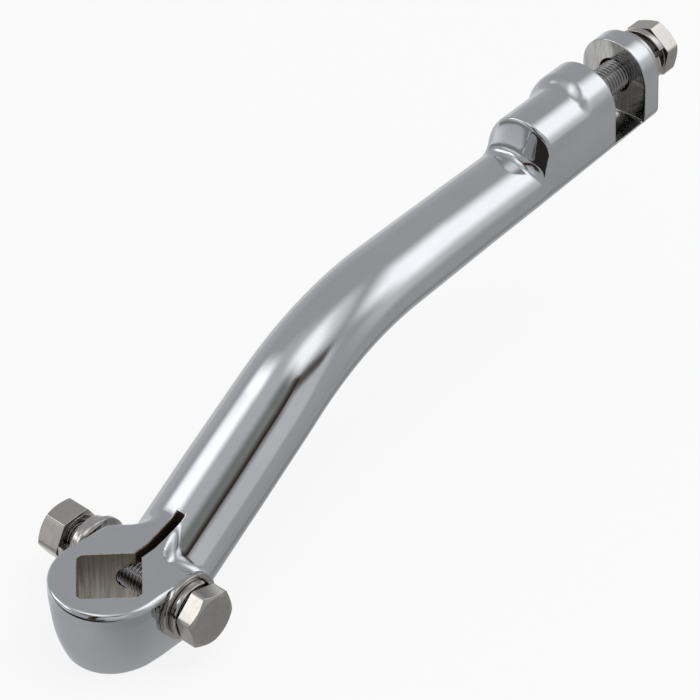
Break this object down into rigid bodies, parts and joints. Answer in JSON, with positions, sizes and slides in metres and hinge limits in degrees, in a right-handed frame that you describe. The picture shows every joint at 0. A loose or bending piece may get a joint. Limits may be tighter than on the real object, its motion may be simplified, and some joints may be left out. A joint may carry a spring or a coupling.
{
  "type": "kickstart lever",
  "caption": "Forged and chromed kickstart lever with a split clamp hub for a square shaft, a cranked oval arm and a forked end with a bolt for a folding pedal.",
  "frame": {"origin": "on the square socket's axis, at the hub's inner face, the one that meets the engine side", "axes": "+Z along the socket's axis, away from the engine; +X along the arm in plan, from the hub to the pedal end; +Y across the lever, towards the pinch nut"},
  "size_m": [0.2615, 0.0612, 0.0943],
  "materials": {
    "arm_chrome": "polished chrome over a polished forging",
    "fastener_steel": "plain stainless, lightly burnished"
  },
  "bodies": {
    "root": {"kick_arm": "arm_chrome", "pinch_bolt": "fastener_steel", "pinch_head_spring": "fastener_steel", "pinch_head_washer": "fastener_steel", "pinch_nut_washer": "fastener_steel", "pinch_nut_spring": "fastener_steel", "pinch_nut": "fastener_steel", "pivot_washer": "fastener_steel", "pivot_spring": "fastener_steel", "pivot_bolt": "fastener_steel"}
  },
  "joints": []
}
